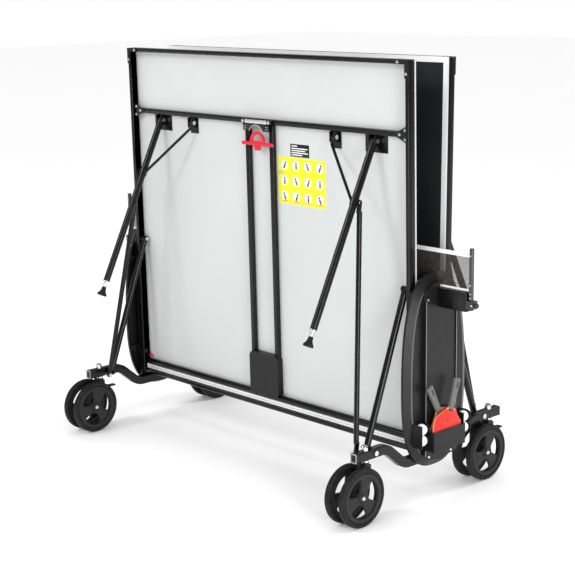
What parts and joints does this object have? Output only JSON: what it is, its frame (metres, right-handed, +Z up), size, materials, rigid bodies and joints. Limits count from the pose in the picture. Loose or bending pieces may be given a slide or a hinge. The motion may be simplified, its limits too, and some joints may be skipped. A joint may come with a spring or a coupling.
{
  "type": "ping pong table",
  "caption": "Folding outdoor ping pong table stored upright on a wheeled chassis, with net, side shields, latches, swinging legs, bats and balls.",
  "frame": {"origin": "middle of the footprint's bounding box, on the floor", "axes": "+X along the net towards the shield with the bats, +Y from the near half to the far half, +Z up"},
  "size_m": [1.95, 0.938, 1.5653],
  "materials": {
    "white_panel": "smooth pale laminate",
    "black_steel": "satin powder coat",
    "black_plastic": "fine moulded grain",
    "shield_plastic": "fine moulded grain",
    "zinc_steel": "bright zinc",
    "silver_plate": "satin silver paint",
    "red_plastic": "moulded gloss",
    "wheel_plastic": "grey black moulded wheel with soft tread",
    "foot_rubber": "matt",
    "net_cloth": "open mesh with white tape",
    "net_post_metal": "satin grey paint",
    "bat_rubber": "red pimpled rubber on a grey handle",
    "ball_plastic": "matt white"
  },
  "bodies": {
    "chassis": {"left_side_beam": "black_steel", "right_side_beam": "black_steel", "beam_end_caps": "black_plastic", "chassis_tie_tube": "black_steel", "left_guide_posts": "black_steel", "right_guide_posts": "black_steel", "chassis_bolts": "zinc_steel", "caster_stems": "zinc_steel", "left_shield": "shield_plastic", "right_shield": "shield_plastic", "net_arms": "black_plastic", "net_posts": "net_post_metal", "net_clamps": "black_plastic", "net": "net_cloth", "ball_holders": "black_plastic", "bat_pocket": "black_plastic"},
    "near_carriage": {"near_guide_blocks": "black_plastic"},
    "near_half": {"near_top_panel": "white_panel", "near_apron": "black_steel", "near_frame_tubes": "black_steel", "near_corner_plates": "black_plastic", "near_lock_cover": "black_plastic", "near_latch_plate": "silver_plate", "near_leg_brackets": "black_steel", "near_pivot_bolts": "zinc_steel"},
    "near_latch": {"near_latch_handle": "red_plastic"},
    "near_leg_frame": {"near_legs": "black_steel", "near_leg_braces": "black_steel", "near_feet": "foot_rubber"},
    "near_arm_pair": {"near_arms": "black_steel"},
    "near_rod_pair": {"near_rods": "black_steel"},
    "far_carriage": {"far_guide_blocks": "black_plastic"},
    "far_half": {"far_top_panel": "white_panel", "far_apron": "black_steel", "far_frame_tubes": "black_steel", "far_corner_plates": "black_plastic", "far_lock_cover": "black_plastic", "far_latch_plate": "silver_plate", "far_leg_brackets": "black_steel", "far_pivot_bolts": "zinc_steel"},
    "far_latch": {"far_latch_handle": "red_plastic"},
    "far_leg_frame": {"far_legs": "black_steel", "far_leg_braces": "black_steel", "far_feet": "foot_rubber"},
    "far_arm_pair": {"far_arms": "black_steel"},
    "far_rod_pair": {"far_rods": "black_steel"},
    "front_left_caster": {"front_left_fork": "black_plastic"},
    "front_left_wheel_pair": {"front_left_wheels": "wheel_plastic"},
    "front_left_brake": {"front_left_pedal": "black_plastic"},
    "front_right_caster": {"front_right_fork": "black_plastic"},
    "front_right_wheel_pair": {"front_right_wheels": "wheel_plastic"},
    "back_left_caster": {"back_left_fork": "black_plastic"},
    "back_left_wheel_pair": {"back_left_wheels": "wheel_plastic"},
    "back_right_caster": {"back_right_fork": "black_plastic"},
    "back_right_wheel_pair": {"back_right_wheels": "wheel_plastic"},
    "back_right_brake": {"back_right_pedal": "black_plastic"},
    "outer_bat_body": {"outer_bat": "bat_rubber"},
    "inner_bat_body": {"inner_bat": "bat_rubber"},
    "front_balls_pair": {"front_balls": "ball_plastic"},
    "back_balls_pair": {"back_balls": "ball_plastic"}
  },
  "joints": [
    {"name": "near_top_fold", "type": "hinge", "parent": "near_carriage", "child": "near_half", "pos_m": [0, -0.07602, 0.288], "axis": [1, 0, 0], "range_deg": [0, 89.2]},
    {"name": "near_pin_lift", "type": "slide", "parent": "chassis", "child": "near_carriage", "axis": [0, 0, 1], "range_m": [0, 0.4401]},
    {"name": "near_leg_fold", "type": "hinge", "parent": "near_half", "child": "near_leg_frame", "pos_m": [0, -0.07889, 1.28106], "axis": [-1, 0, 0], "range_deg": [0, 72.83]},
    {"name": "near_arm_swing", "type": "hinge", "parent": "near_half", "child": "near_arm_pair", "pos_m": [0, -0.07282, 0.77509], "axis": [-1, 0, 0], "range_deg": [0, 38.65]},
    {"name": "near_rod_swing", "type": "hinge", "parent": "chassis", "child": "near_rod_pair", "pos_m": [0, -0.30002, 0.232], "axis": [1, 0, 0], "range_deg": [0, 78.72]},
    {"name": "near_latch_pull", "type": "slide", "parent": "near_half", "child": "near_latch", "axis": [0, -0.014, 0.9999], "range_m": [0, 0.012], "stiffness_N_per_m": 300},
    {"name": "far_top_fold", "type": "hinge", "parent": "far_carriage", "child": "far_half", "pos_m": [0, 0.11798, 0.288], "axis": [-1, 0, 0], "range_deg": [0, 89.2]},
    {"name": "far_pin_lift", "type": "slide", "parent": "chassis", "child": "far_carriage", "axis": [0, 0, 1], "range_m": [0, 0.4401]},
    {"name": "far_leg_fold", "type": "hinge", "parent": "far_half", "child": "far_leg_frame", "pos_m": [0, 0.12084, 1.28106], "axis": [1, 0, 0], "range_deg": [0, 72.83]},
    {"name": "far_arm_swing", "type": "hinge", "parent": "far_half", "child": "far_arm_pair", "pos_m": [0, 0.11478, 0.77509], "axis": [1, 0, 0], "range_deg": [0, 38.65]},
    {"name": "far_rod_swing", "type": "hinge", "parent": "chassis", "child": "far_rod_pair", "pos_m": [0, 0.34198, 0.232], "axis": [-1, 0, 0], "range_deg": [0, 78.72]},
    {"name": "far_latch_pull", "type": "slide", "parent": "far_half", "child": "far_latch", "axis": [0, 0.014, 0.9999], "range_m": [0, 0.012], "stiffness_N_per_m": 300},
    {"name": "front_left_swivel", "type": "hinge", "parent": "chassis", "child": "front_left_caster", "pos_m": [-0.76, -0.31402, 0.2135], "axis": [0, 0, 1], "continuous": true},
    {"name": "front_left_wheel_spin", "type": "hinge", "parent": "front_left_caster", "child": "front_left_wheel_pair", "pos_m": [-0.76, -0.36402, 0.105], "axis": [1, 0, 0], "continuous": true},
    {"name": "front_left_brake_press", "type": "hinge", "parent": "front_left_caster", "child": "front_left_brake", "pos_m": [-0.76, -0.28702, 0.172], "axis": [1, 0, 0], "range_deg": [0, 15]},
    {"name": "front_right_swivel", "type": "hinge", "parent": "chassis", "child": "front_right_caster", "pos_m": [0.76, -0.31402, 0.2135], "axis": [0, 0, 1], "continuous": true},
    {"name": "front_right_wheel_spin", "type": "hinge", "parent": "front_right_caster", "child": "front_right_wheel_pair", "pos_m": [0.76, -0.36402, 0.105], "axis": [1, 0, 0], "continuous": true},
    {"name": "back_left_swivel", "type": "hinge", "parent": "chassis", "child": "back_left_caster", "pos_m": [-0.76, 0.35598, 0.2135], "axis": [0, 0, 1], "continuous": true},
    {"name": "back_left_wheel_spin", "type": "hinge", "parent": "back_left_caster", "child": "back_left_wheel_pair", "pos_m": [-0.76, 0.30598, 0.105], "axis": [1, 0, 0], "continuous": true},
    {"name": "back_right_swivel", "type": "hinge", "parent": "chassis", "child": "back_right_caster", "pos_m": [0.76, 0.35598, 0.2135], "axis": [0, 0, 1], "continuous": true},
    {"name": "back_right_wheel_spin", "type": "hinge", "parent": "back_right_caster", "child": "back_right_wheel_pair", "pos_m": [0.76, 0.30598, 0.105], "axis": [1, 0, 0], "continuous": true},
    {"name": "back_right_brake_press", "type": "hinge", "parent": "back_right_caster", "child": "back_right_brake", "pos_m": [0.76, 0.38298, 0.172], "axis": [1, 0, 0], "range_deg": [0, 15]},
    {"name": "outer_bat_lift", "type": "slide", "parent": "chassis", "child": "outer_bat_body", "axis": [0, 0, 1], "range_m": [0, 0.2]},
    {"name": "inner_bat_lift", "type": "slide", "parent": "chassis", "child": "inner_bat_body", "axis": [0, 0, 1], "range_m": [0, 0.2]},
    {"name": "front_balls_lift", "type": "slide", "parent": "chassis", "child": "front_balls_pair", "axis": [0, 0, 1], "range_m": [0, 0.09]},
    {"name": "back_balls_lift", "type": "slide", "parent": "chassis", "child": "back_balls_pair", "axis": [0, 0, 1], "range_m": [0, 0.09]}
  ],
  "couplings": [
    {"joint": "near_leg_fold", "follows": "near_top_fold", "ratio": 0.81642},
    {"joint": "near_arm_swing", "follows": "near_top_fold", "ratio": 0.43322},
    {"joint": "near_rod_swing", "follows": "near_top_fold", "ratio": 0.88251},
    {"joint": "near_pin_lift", "follows": "near_top_fold", "m_per_rad": 0.28262},
    {"joint": "far_leg_fold", "follows": "far_top_fold", "ratio": 0.81642},
    {"joint": "far_arm_swing", "follows": "far_top_fold", "ratio": 0.43322},
    {"joint": "far_rod_swing", "follows": "far_top_fold", "ratio": 0.88251},
    {"joint": "far_pin_lift", "follows": "far_top_fold", "m_per_rad": 0.28262}
  ]
}
